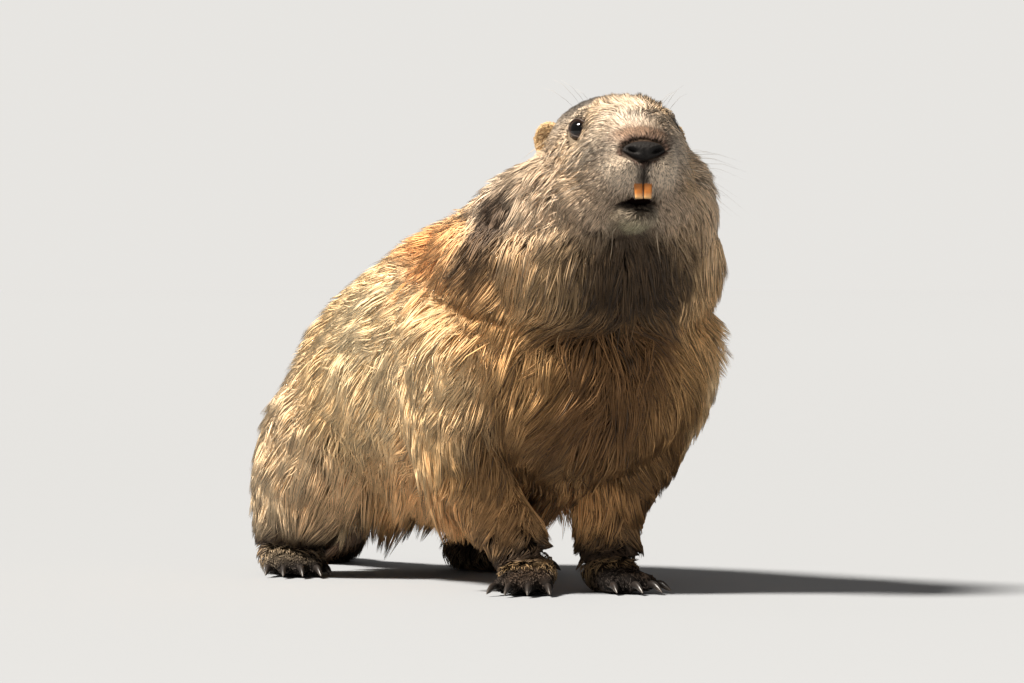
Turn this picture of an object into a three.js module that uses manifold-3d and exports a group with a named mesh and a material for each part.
// A life-size alpine marmot, standing still on all fours, its head raised and turned a little to its right.
// Millimetres, +Z up. The animal faces -Y, its left side is +X, and it stands on the floor at z = 0.
import * as THREE from "three";
import { LoftGeometry } from "three/addons/geometries/LoftGeometry.js";
import { mergeVertices } from "three/addons/utils/BufferGeometryUtils.js";
import Module from "manifold-3d";

const wasm = await Module();
wasm.setup();

// Driving dimensions. Sizes of furred forms reach to the tips of the coat.
const GAP = 0.3; // kept between neighbouring solids
const SIDES = { left: 1, right: -1 };
const EYE_MIDDLE = [-5, -85, 248]; // between the eyes, in the standing animal
const HEAD_TURN = -14; // degrees, towards the animal's right
const HEAD_LIFT = 11; // degrees, nose up
const EYE_RADIUS = 8;
const EYE_SPREAD = 21.5; // from the middle to each eyeball's centre
const EYE_AXIS = [0.88, -0.44, 0.12]; // where the left eye looks
const LID_THICKNESS = 1.8;
const LID_OPENING = [8.2, 5.4]; // half its length and half its height
const EAR_AT = { left: [33.5, 38, 0], right: [35, 37, 1] };
const FOREFOOT_AT = [23, -6];
const HINDFOOT_AT = [58, 246];
const FOREFOOT_TOE_OUT = { left: 4, right: 34 }; // degrees
const HINDFOOT_TOE_OUT = 16; // degrees
const FOREFOOT_TOP = 24; // where each foot ends and its leg begins
const HINDFOOT_TOP = 27;

const rad = THREE.MathUtils.degToRad;
const UP = new THREE.Vector3(0, 0, 1);
const FORWARD = new THREE.Vector3(0, -1, 0);
const bothSides = (make) => Object.values(SIDES).map(make);

// A closed mesh as a solid: shared vertices merged and collapsed triangles left out.
function solidOf(geometry, matrix) {
  const bare = new THREE.BufferGeometry()
    .setAttribute("position", geometry.getAttribute("position").clone())
    .setIndex(geometry.index);
  if (matrix) bare.applyMatrix4(matrix);
  const merged = mergeVertices(bare, 1e-3);
  const index = merged.index.array;
  const corners = [];
  for (let i = 0; i < index.length; i += 3) {
    const [a, b, c] = [index[i], index[i + 1], index[i + 2]];
    if (a !== b && b !== c && a !== c) corners.push(a, b, c);
  }
  const made = new wasm.Mesh({
    numProp: 3,
    vertProperties: merged.attributes.position.array,
    triVerts: new Uint32Array(corners),
  });
  return new wasm.Manifold(made);
}

const join = (...solids) => solids.flat(Infinity).reduce((all, next) => all.add(next));
const largestOf = (solid) => solid.decompose().sort((a, b) => b.volume() - a.volume())[0];

// A rounded body along a smooth line. Each station is [x, y, z, half width, top, bottom, coat depth].
class Form {
  constructor(stations, shape) {
    const plain = { sides: 16, rings: 14, up: UP, roundStart: 0.15, roundEnd: 0.15, square: 1 };
    Object.assign(this, plain, shape);
    this.line = new THREE.CatmullRomCurve3(stations.map((s) => new THREE.Vector3(s[0], s[1], s[2])));
    this.sizes = new THREE.CatmullRomCurve3(stations.map((s) => new THREE.Vector3(s[3], s[4], s[5])));
    this.coats = new THREE.CatmullRomCurve3(stations.map((s) => new THREE.Vector3(s[6] ?? 0, 0, 0)));
  }

  coat(t) {
    return this.coats.getPoint(t).x;
  }

  // Shrinks the section to a point at each end, as a dome does.
  dome(t) {
    const start = Math.min(1, t / this.roundStart);
    const end = Math.min(1, (1 - t) / this.roundEnd);
    return Math.sqrt(1 - (1 - start) ** 2) * Math.sqrt(1 - (1 - end) ** 2);
  }

  // The surface at t along the line and at an angle round it, with 90 degrees on top. It lies under the tips
  // of the coat by a share of the coat's depth, and moves out by swell.
  point(t, angle, coatShare = 0, swell = 0) {
    const centre = this.line.getPoint(t);
    const along = this.line.getTangent(t);
    const side = new THREE.Vector3().crossVectors(along, this.up).normalize();
    const above = new THREE.Vector3().crossVectors(side, along);
    const { x: half, y: top, z: bottom } = this.sizes.getPoint(t);
    const round = (value) => Math.sign(value) * Math.abs(value) ** this.square;
    const out = swell - this.coat(t) * coatShare;
    const [c, s] = [round(Math.cos(angle)), round(Math.sin(angle))];
    const dome = this.dome(t);
    return centre
      .addScaledVector(side, c * dome * (half + out))
      .addScaledVector(above, s * dome * ((s > 0 ? top : bottom) + out));
  }

  // Moves over the surface from t and angle, by a distance in a direction of space.
  step(t, angle, direction, distance) {
    const small = 0.01;
    const here = this.point(t, angle);
    const along = this.point(t + small, angle).sub(here).divideScalar(small);
    const round = this.point(t, angle + small).sub(here).divideScalar(small);
    const [aa, ab, bb] = [along.dot(along), along.dot(round), round.dot(round)];
    const [ad, bd] = [along.dot(direction), round.dot(direction)];
    const area = aa * bb - ab * ab;
    const [dt, da] = [(bb * ad - ab * bd) / area, (aa * bd - ab * ad) / area];
    const moved = along.multiplyScalar(dt).addScaledVector(round, da).length();
    return [THREE.MathUtils.clamp(t + (dt * distance) / moved, 0.04, 0.96), angle + (da * distance) / moved];
  }

  geometry(coatShare = 0, swell = 0) {
    const sections = [];
    for (let i = 0; i <= this.rings; i++) {
      const t = 0.5 - 0.5 * Math.cos((Math.PI * i) / this.rings);
      const section = [];
      for (let j = 0; j < this.sides; j++) {
        section.push(this.point(t, (-2 * Math.PI * j) / this.sides, coatShare, swell));
      }
      sections.push(section);
    }
    return new LoftGeometry(sections);
  }

  solid({ coatShare = 0, swell = 0, matrix } = {}) {
    return solidOf(this.geometry(coatShare, swell), matrix);
  }
}

const onSide = (side, stations) => stations.map(([x, ...rest]) => [side * x, ...rest]);

function ellipsoid([x, y, z], [rx, ry, rz], { segments = 12, turn = [0, 0, 0], matrix } = {}) {
  const geometry = new THREE.SphereGeometry(1, segments, Math.round(segments * 0.6));
  geometry.scale(rx, ry, rz);
  geometry.applyMatrix4(new THREE.Matrix4().makeRotationFromEuler(new THREE.Euler(...turn.map(rad), "ZYX")));
  geometry.translate(x, y, z);
  return solidOf(geometry, matrix);
}

// Everything on one side of a plane through a point, the side that the normal points to.
const FAR = 900;
function halfSpace(point, normal, shift = 0) {
  const box = new THREE.BoxGeometry(2 * FAR, 2 * FAR, FAR).translate(0, 0, FAR / 2 + shift);
  const turn = new THREE.Quaternion().setFromUnitVectors(UP, new THREE.Vector3(...normal).normalize());
  const place = new THREE.Matrix4().makeRotationFromQuaternion(turn).setPosition(...point);
  return solidOf(box, place);
}

// The two sides of a plane, a gap apart.
const parted = (point, normal) => ({
  ahead: halfSpace(point, normal, GAP / 2),
  behind: halfSpace(point, normal.map((n) => -n), GAP / 2),
});

// body
const torso = new Form(
  [
    [0, -58, 122, 56, 46, 50, 10],
    [0, -36, 126, 74, 62, 62, 14],
    [0, 4, 127, 85, 86, 72, 16],
    [0, 62, 122, 86, 94, 74, 16],
    [0, 130, 113, 87, 84, 66, 18],
    [0, 195, 102, 82, 68, 58, 18],
    [0, 244, 88, 67, 50, 50, 18],
    [0, 276, 78, 52, 38, 44, 18],
  ],
  { sides: 20, rings: 16, roundStart: 0.22, roundEnd: 0.2 },
);

const neck = new Form(
  [
    [0, 66, 132, 70, 66, 50, 12],
    [0, 30, 150, 77, 70, 60, 14],
    [0, -4, 169, 78, 65, 66, 14],
    [1, -38, 194, 72, 54, 62, 12],
    [0, -66, 217, 57, 38, 50, 8],
    [-5, -86, 232, 36, 24, 34, 5],
  ],
  { sides: 18, rings: 11, roundStart: 0.2, roundEnd: 0.2 },
);

const forelegStations = {
  left: [
    [54, -2, 152, 34, 42, 48, 10],
    [54, 2, 118, 36, 42, 46, 12],
    [43, 8, 84, 33, 34, 38, 12],
    [30, 6, 56, 25, 25, 28, 10],
    [25, 0, 32, 17, 17, 18, 6],
    [25, -6, 12, 13, 14, 14, 3],
  ],
  right: [
    [54, -2, 152, 34, 42, 48, 10],
    [60, 2, 120, 32, 42, 48, 12],
    [58, 8, 86, 30, 37, 44, 12],
    [44, 8, 56, 22, 26, 34, 10],
    [30, 2, 32, 16, 17, 20, 6],
    [25, -6, 12, 13, 14, 14, 3],
  ],
};
const foreleg = (name) =>
  new Form(onSide(SIDES[name], forelegStations[name]), {
    sides: 12,
    rings: 10,
    up: FORWARD,
    roundStart: 0.2,
    roundEnd: 0.1,
  });

const hindleg = (name) =>
  new Form(
    onSide(SIDES[name], [
      [46, 186, 112, 34, 50, 46, 14],
      [56, 194, 86, 36, 54, 50, 14],
      [61, 210, 58, 32, 44, 46, 12],
      [60, 230, 34, 22, 28, 32, 8],
      [HINDFOOT_AT[0], HINDFOOT_AT[1], 14, 15, 18, 22, 3],
    ]),
    { sides: 12, rings: 10, up: FORWARD, roundStart: 0.2, roundEnd: 0.1 },
  );

// The tail lies on the floor behind the animal.
const tail = new Form(
  [
    [0, 250, 82, 26, 24, 24, 10],
    [3, 286, 58, 25, 20, 22, 12],
    [8, 322, 30, 25, 19, 20, 12],
    [14, 360, 14, 25, 18, 20, 12],
    [22, 398, 9, 21, 15, 16, 12],
    [28, 426, 7, 13, 11, 13, 10],
  ],
  { sides: 12, rings: 11, roundStart: 0.15, roundEnd: 0.3 },
);

// head, shaped level and facing -Y round the point between the eyes, then set in place
const headMatrix = new THREE.Matrix4()
  .makeTranslation(...EYE_MIDDLE)
  .multiply(new THREE.Matrix4().makeRotationZ(rad(HEAD_TURN)))
  .multiply(new THREE.Matrix4().makeRotationX(rad(-HEAD_LIFT)));
const inHead = (more = {}) => ({ matrix: headMatrix, ...more });

const skull = new Form(
  [
    [0, 68, -18, 33, 29, 30],
    [0, 48, -16, 39.5, 37, 36],
    [0, 26, -15, 39, 39, 38],
    [0, 8, -15, 35, 36.5, 36],
    [0, -8, -17, 29.5, 30, 32],
    [0, -24, -19, 23.5, 21.5, 25],
    [0, -38, -20.5, 19, 14, 19],
    [0, -49, -21.5, 16, 10.5, 15],
  ],
  { sides: 22, rings: 16, roundStart: 0.2, roundEnd: 0.08, square: 0.8 },
);

// The cheeks, and the throat under them.
const jowls = new Form(
  [
    [0, 60, -34, 36, 26, 26],
    [0, 40, -35, 45.5, 30, 31],
    [0, 16, -35, 43.5, 29, 29],
    [0, -4, -35, 36, 25, 23],
    [0, -20, -34, 25, 20, 15],
  ],
  { sides: 20, rings: 9, roundStart: 0.25, roundEnd: 0.3 },
);

const jaw = new Form(
  [
    [0, 22, -46, 20, 12, 15],
    [0, 4, -47, 17, 10, 12.5],
    [0, -12, -47.5, 13.5, 8, 10],
    [0, -24, -48.5, 11, 5, 8],
    [0, -32, -49, 8, 3, 6],
  ],
  { sides: 14, rings: 10, roundStart: 0.3, roundEnd: 0.2 },
);

// The upper lip's two whisker pads, with the cleft between them.
const whiskerPads = () => bothSides((s) => ellipsoid([s * 9, -34, -27], [11, 16, 11.5], inHead()));

const BROW_TURN = 16; // degrees
const brow = (s) =>
  ellipsoid([s * 19.5, 3, 6.5], [9, 14, 7], inHead({ segments: 10, turn: [0, 0, s * BROW_TURN] }));
const brows = () => bothSides(brow);

const eyeball = (s, radius) => ellipsoid([s * EYE_SPREAD, 0, 0], [radius, radius, radius], inHead());

// The almond opening between the lids, along the eye's axis, with its inner corner the lower one.
function lidOpening(s) {
  const axis = new THREE.Vector3(s * EYE_AXIS[0], EYE_AXIS[1], EYE_AXIS[2]).normalize();
  const turn = new THREE.Quaternion().setFromUnitVectors(FORWARD, axis);
  const opening = new THREE.SphereGeometry(1, 12, 6);
  opening.scale(LID_OPENING[0], EYE_RADIUS, LID_OPENING[1]);
  opening.rotateY(s * rad(12));
  opening.translate(0, -EYE_RADIUS, 0);
  opening.applyQuaternion(turn);
  opening.translate(s * EYE_SPREAD, 0, 0);
  return solidOf(opening, headMatrix);
}

const noseSolid = (swell = 0) =>
  ellipsoid([0, -47.5, -19.2], [11.5 + swell, 7 + swell, 6.8 + swell], inHead({ segments: 12 }));
const nostril = (s) =>
  ellipsoid([s * 6.2, -54, -19], [3.2, 3, 1.7], inHead({ segments: 7, turn: [0, s * 22, 0] }));
const nostrils = () => bothSides(nostril);

// An upper incisor: a slightly bowed bar that ends in a chisel edge.
const incisor = (s, swell = 0) =>
  new Form(
    [
      [s * 2.5, -36, -26, 2.3, 1.8, 1.8],
      [s * 2.5, -41, -34, 2.3, 1.8, 1.8],
      [s * 2.5, -42.5, -41, 2.2, 1.6, 1.6],
      [s * 2.35, -42.5, -46, 1.9, 1.0, 1.2],
    ],
    { sides: 8, rings: 6, up: FORWARD, roundStart: 0.05, roundEnd: 0.1, square: 0.7 },
  ).solid({ swell, matrix: headMatrix });

const mouth = () => ellipsoid([0, -31, -42], [12, 12, 5], inHead({ segments: 12 }));

// A small round ear: a shell, cupped on the side that faces forward and out.
function ear(name, swell = 0) {
  const s = SIDES[name];
  const [x, y, z] = EAR_AT[name];
  const turn = [0, s * 10, s * 36];
  const sizes = [5, 9.5, 11].map((radius) => radius + swell);
  const shell = ellipsoid([s * x, y, z], sizes, inHead({ turn, segments: 10 }));
  const cup = ellipsoid([s * (x + 3.8), y - 3.4, z - 1], [3.8, 6.8, 8.2], inHead({ turn, segments: 8 }));
  return { shell, cup };
}

// feet, shaped facing -Y over their own ankle, then set in place
function toe(x, y, spread, { length, thick, claw }) {
  const turn = (stations) =>
    stations.map(([along, z, ...sizes]) => [
      x + along * Math.sin(rad(spread)),
      y - along * Math.cos(rad(spread)),
      z,
      ...sizes,
    ]);
  const digit = new Form(
    turn([
      [-8, thick + 2, thick, thick, thick + 2],
      [length * 0.4, thick + 3, thick * 1.05, thick, thick + 2],
      [length, thick * 0.9, thick * 0.85, thick * 0.8, thick],
    ]),
    { sides: 6, rings: 4, roundStart: 0.3, roundEnd: 0.35 },
  );
  const nail = new Form(
    turn([
      [length - 3, thick * 0.9 + 1, 1.9, 2.2, 2],
      [length + claw * 0.5, thick * 0.9, 1.5, 1.8, 1.6],
      [length + claw, 1.6, 0.6, 0.7, 0.7],
    ]),
    { sides: 4, rings: 3, roundStart: 0.2, roundEnd: 0.5 },
  );
  return [digit.solid(), nail.solid()];
}

function paw({ palm, toes, at, toeOut, side }) {
  const sole = new Form(palm, { sides: 8, rings: 5, roundStart: 0.2, roundEnd: 0.2 }).solid();
  const digits = toes.map(([x, y, spread, sizes]) => toe(side * x, y, side * spread, sizes));
  const turn = new THREE.Matrix4().makeRotationZ(rad(side * toeOut));
  const place = new THREE.Matrix4().makeTranslation(side * at[0], at[1], 0).multiply(turn);
  return join(sole, digits).transform([...place.elements]);
}

const forefoot = (name) =>
  paw({
    palm: [
      [0, 14, 10, 10, 9, 11],
      [0, 4, 11, 13, 10, 12],
      [0, -12, 9, 14, 8, 10],
      [0, -24, 8, 12, 5, 8],
    ],
    toes: [
      [-10, -16, -16, { length: 15, thick: 4.2, claw: 10 }],
      [-3.5, -20, -5, { length: 18, thick: 4.6, claw: 11 }],
      [4, -20, 5, { length: 17, thick: 4.6, claw: 11 }],
      [10.5, -15, 18, { length: 14, thick: 4.2, claw: 10 }],
    ],
    at: FOREFOOT_AT,
    toeOut: FOREFOOT_TOE_OUT[name],
    side: SIDES[name],
  });

const hindfoot = (name) =>
  paw({
    palm: [
      [0, 20, 11, 11, 10, 12],
      [0, 0, 11, 14, 12, 12],
      [0, -26, 9, 15, 9, 10],
      [0, -42, 8, 14, 6, 9],
    ],
    toes: [
      [-12, -30, -18, { length: 12, thick: 4, claw: 8 }],
      [-6.5, -36, -9, { length: 17, thick: 4.6, claw: 10 }],
      [0, -38, 0, { length: 18, thick: 4.8, claw: 10 }],
      [6.5, -36, 9, { length: 17, thick: 4.6, claw: 10 }],
      [12, -29, 20, { length: 12, thick: 4.2, claw: 9 }],
    ],
    at: HINDFOOT_AT,
    toeOut: HINDFOOT_TOE_OUT,
    side: SIDES[name],
  });

// locks of the long coat
const CORE_SHARE = 0.5; // the core lies this share of the coat's depth under the tips
const ROOT_DEPTH = 6; // how far a lock's root is sunk under the core
const LOCK_RISE = 1.4; // how late along its length a lock rises from the core to the tips
// Each is how far along the lock, then the shares of its width and its thickness.
const LOCK_SECTIONS = [
  [0.3, 1, 1],
  [0.62, 0.74, 0.7],
];
const LOCK_SPACING = 1.08; // across, in widths
const LOCK_SWAY = 0.3; // radians, from one side to the other

function seeded(seed) {
  let state = seed;
  return () => {
    state = (state * 1664525 + 1013904223) % 4294967296;
    return state / 4294967296;
  };
}

// A flat lock that starts under the core at t and angle, follows the lie over the form, rises to the coat's
// tips and sags by droop at its end.
function lock(form, t, angle, { length, width, thick, lie, droop = 0 }) {
  const place = (at, reach, sunk) => {
    const here = form.point(...at, CORE_SHARE * (1 - reach) ** LOCK_RISE, -sunk);
    here.z -= droop * reach ** 2;
    return here;
  };
  const sections = [];
  let at = [t, angle];
  let before = 0;
  const root = place(at, 0, ROOT_DEPTH + thick * 0.6);
  sections.push(Array(3).fill(root));
  for (const [reach, wide, deep] of LOCK_SECTIONS) {
    at = form.step(...at, lie, length * (reach - before));
    before = reach;
    const here = place(at, reach, 0);
    const along = place(form.step(...at, lie, 3), reach, 0).sub(here).normalize();
    const out = place(at, reach, -3).sub(here);
    const side = new THREE.Vector3().crossVectors(along, out).normalize();
    const above = new THREE.Vector3().crossVectors(side, along);
    const half = (width * wide) / 2;
    const high = (thick * deep) / 2;
    sections.push([
      here.clone().addScaledVector(above, high),
      here.clone().addScaledVector(side, half).addScaledVector(above, -high),
      here.clone().addScaledVector(side, -half).addScaledVector(above, -high),
    ]);
  }
  at = form.step(...at, lie, length * (1 - before));
  sections.push(Array(3).fill(place(at, 1, 0)));
  const solid = solidOf(new LoftGeometry(sections));
  return solid.volume() > 0 ? solid : solidOf(new LoftGeometry(sections.reverse()));
}

// Rows of locks over a form, between two t and two angles, each row set half a lock over from the last.
function rows(form, { from, to, count, low, high, size, lie, seed }) {
  const random = seeded(seed);
  const locks = [];
  for (let row = 0; row < count; row++) {
    const t = from + ((to - from) * (row + 0.5)) / count;
    const span = rad(high - low);
    const { x: half, y: top, z: bottom } = form.sizes.getPoint(t);
    const round = form.dome(t) * (half + (top + bottom) / 2) * 0.5 * span;
    const across = Math.max(2, Math.round(round / (size.width * LOCK_SPACING)));
    for (let i = 0; i < across; i++) {
      const share = (i + 0.5 + (row % 2 ? 0.25 : -0.25) + (random() - 0.5) * 0.2) / across;
      const angle = rad(low) + span * share;
      const scale = 0.85 + 0.3 * random();
      const sway = (random() - 0.5) * LOCK_SWAY;
      const start = [t + (random() - 0.5) * ((0.5 * (to - from)) / count), angle];
      const here = form.point(...start);
      const direction = lie(here).applyAxisAngle(UP, sway).normalize();
      locks.push(
        lock(form, ...start, {
          length: size.length * scale,
          width: size.width * (0.9 + 0.25 * random()),
          thick: size.thick,
          droop: size.droop ?? 0,
          lie: direction,
        }),
      );
    }
  }
  return locks;
}

const towards = (x, y, z) => () => new THREE.Vector3(x, y, z);
// Over the trunk the hair lies back, and down the more the lower it is.
const trunkLie = (here) => new THREE.Vector3(Math.sign(here.x) * 0.1, 0.75, -0.25 - (170 - here.z) / 110);
const neckLie = (here) => new THREE.Vector3(0, here.y < -40 ? 0.25 : 0.8, -0.9);

// The outer half of a leg, from its front round to its back, in degrees.
const outerHalf = (s) => (s > 0 ? { low: 80, high: 270 } : { low: -90, high: 100 });

const trunkLocks = () => [
  rows(torso, {
    from: 0.14,
    to: 0.95,
    count: 5,
    low: -42,
    high: 222,
    seed: 11,
    lie: trunkLie,
    size: { length: 88, width: 42, thick: 8, droop: 3 },
  }),
  rows(neck, {
    from: 0.36,
    to: 0.86,
    count: 3,
    low: 0,
    high: 360,
    seed: 23,
    lie: neckLie,
    size: { length: 68, width: 44, thick: 7, droop: 2 },
  }),
  rows(tail, {
    from: 0.16,
    to: 0.84,
    count: 3,
    low: -10,
    high: 190,
    seed: 31,
    lie: towards(0.1, 1, -0.3),
    size: { length: 68, width: 28, thick: 6 },
  }),
];

const legLocks = (name) => [
  rows(forms.forelegs[name], {
    ...outerHalf(SIDES[name]),
    from: 0.16,
    to: 0.64,
    count: 3,
    seed: 41 + SIDES[name],
    lie: towards(SIDES[name] * 0.15, 0.4, -1),
    size: { length: 56, width: 34, thick: 7 },
  }),
  rows(forms.hindlegs[name], {
    ...outerHalf(SIDES[name]),
    from: 0.14,
    to: 0.62,
    count: 2,
    seed: 53 + SIDES[name],
    lie: towards(SIDES[name] * 0.1, 0.5, -1),
    size: { length: 58, width: 38, thick: 7 },
  }),
];

// the coat's body as one piece, then parted into its named nodes
const floor = halfSpace([0, 0, 0], [0, 0, -1]);
const bySide = (make) => Object.fromEntries(Object.keys(SIDES).map((name) => [name, make(name)]));
const forms = { torso, neck, tail, forelegs: bySide(foreleg), hindlegs: bySide(hindleg) };
const furred = [torso, neck, tail, ...Object.values(forms.forelegs), ...Object.values(forms.hindlegs)];

const headRoom = join(
  [skull, jowls, jaw].map((form) => form.solid({ swell: GAP, matrix: headMatrix })),
  Object.keys(SIDES).map((name) => ear(name, GAP).shell),
);
const cores = furred.map((form) => form.solid({ coatShare: CORE_SHARE }));
const whole = join(cores, trunkLocks(), Object.keys(SIDES).map(legLocks))
  .subtract(floor)
  .subtract(headRoom);

// The room round a leg, which parts it from the trunk.
const foreRoom = (side, swell = 0) =>
  new Form(
    onSide(side, [
      [58, -4, 146, 46, 50, 58],
      [64, 2, 110, 48, 54, 64],
      [58, 8, 80, 46, 50, 62],
      [42, 6, 50, 38, 42, 54],
      [30, 0, 24, 28, 46, 40],
      [26, -6, -8, 28, 56, 40],
    ]),
    { sides: 10, rings: 6, up: FORWARD, roundStart: 0.2, roundEnd: 0.05 },
  ).solid({ swell });

const hindRoom = (side, swell = 0) =>
  new Form(
    onSide(side, [
      [52, 190, 118, 46, 56, 54],
      [66, 196, 86, 46, 66, 62],
      [68, 212, 54, 44, 66, 62],
      [62, 232, 26, 40, 70, 54],
      [60, 240, -10, 40, 80, 54],
    ]),
    { sides: 10, rings: 6, up: FORWARD, roundStart: 0.2, roundEnd: 0.05 },
  ).solid({ swell });

const middle = parted([0, 0, 0], [1, 0, 0]);
const neckCut = parted([0, -10, 168], [0, -0.75, 0.66]);
const tailCut = parted([0, 284, 66], [0, 0.8, -0.6]);
const foreCut = parted([0, 0, FOREFOOT_TOP], [0, 0, 1]);
const hindCut = parted([0, 0, HINDFOOT_TOP], [0, 0, 1]);

const nodes = new Map();
const add = (name, solid, color, roughness = 0.9) =>
  nodes.set(name, { solid: largestOf(solid), color, roughness });

const COAT = {
  head: 0x8f8474,
  back: 0xa98b5d,
  chest: 0x8a683c,
  foot: 0x1d1815,
  ear: 0xb59a66,
  tail: 0x4a3a2c,
};

let rest = whole;
for (const [name, s] of Object.entries(SIDES)) {
  const half = s > 0 ? middle.ahead : middle.behind;
  const front = whole.intersect(foreRoom(s)).intersect(half);
  const rear = whole.intersect(hindRoom(s)).intersect(half);
  const frontFoot = forefoot(name).subtract(floor);
  const rearFoot = hindfoot(name).subtract(floor);
  add("foreleg_" + name, front.intersect(foreCut.ahead), COAT.chest);
  add("hindleg_" + name, rear.intersect(hindCut.ahead), COAT.back);
  add("forefoot_" + name, join(front, frontFoot).intersect(foreCut.behind).intersect(half), COAT.foot);
  add("hindfoot_" + name, join(rear, rearFoot).intersect(hindCut.behind).intersect(half), COAT.foot);
  rest = rest.subtract(foreRoom(s, GAP)).subtract(hindRoom(s, GAP));
}
add("torso", rest.intersect(neckCut.behind).intersect(tailCut.behind), COAT.back);
add("neck", rest.intersect(neckCut.ahead), COAT.chest);
add("tail", rest.intersect(tailCut.ahead), COAT.tail);

const lids = bothSides((s) => eyeball(s, EYE_RADIUS + LID_THICKNESS));
const jawRoom = jaw.solid(inHead({ swell: GAP }));
let head = join(skull.solid(inHead()), jowls.solid(inHead()), whiskerPads(), brows(), lids)
  .subtract(join(jawRoom, mouth(), noseSolid(GAP)));
for (const [name, s] of Object.entries(SIDES)) {
  head = head.subtract(eyeball(s, EYE_RADIUS + GAP)).subtract(lidOpening(s)).subtract(incisor(s, GAP));
  add("eye_" + name, eyeball(s, EYE_RADIUS), 0x0d0b0a, 0.1);
  add("incisor_" + name, incisor(s), 0xb5651d, 0.4);
  const { shell, cup } = ear(name);
  const skullRoom = join([skull, jowls].map((form) => form.solid(inHead({ swell: GAP }))));
  add("ear_" + name, shell.subtract(cup).subtract(skullRoom), COAT.ear);
}
add("head", head, COAT.head);
add("nose", noseSolid().subtract(join(nostrils())), 0x14110f, 0.5);
add("lower_jaw", jaw.solid(inHead()).subtract(join(mouth(), incisor(1, GAP), incisor(-1, GAP))), COAT.head);

// The origin goes to the middle of the bounding box, on the floor.
const boxes = [...nodes.values()].map(({ solid }) => solid.boundingBox());
const middleOf = (axis) =>
  (Math.min(...boxes.map((box) => box.min[axis])) + Math.max(...boxes.map((box) => box.max[axis]))) / 2;
const toOrigin = [-middleOf(0), -middleOf(1), 0];

const group = new THREE.Group();
for (const [name, { solid, color, roughness }] of nodes) {
  const { vertProperties, triVerts } = solid.translate(toOrigin).getMesh();
  const geometry = new THREE.BufferGeometry()
    .setAttribute("position", new THREE.BufferAttribute(vertProperties, 3))
    .setIndex(new THREE.BufferAttribute(triVerts, 1));
  const mesh = new THREE.Mesh(geometry, new THREE.MeshStandardMaterial({ color, roughness }));
  mesh.name = name;
  group.add(mesh);
}

export default group;
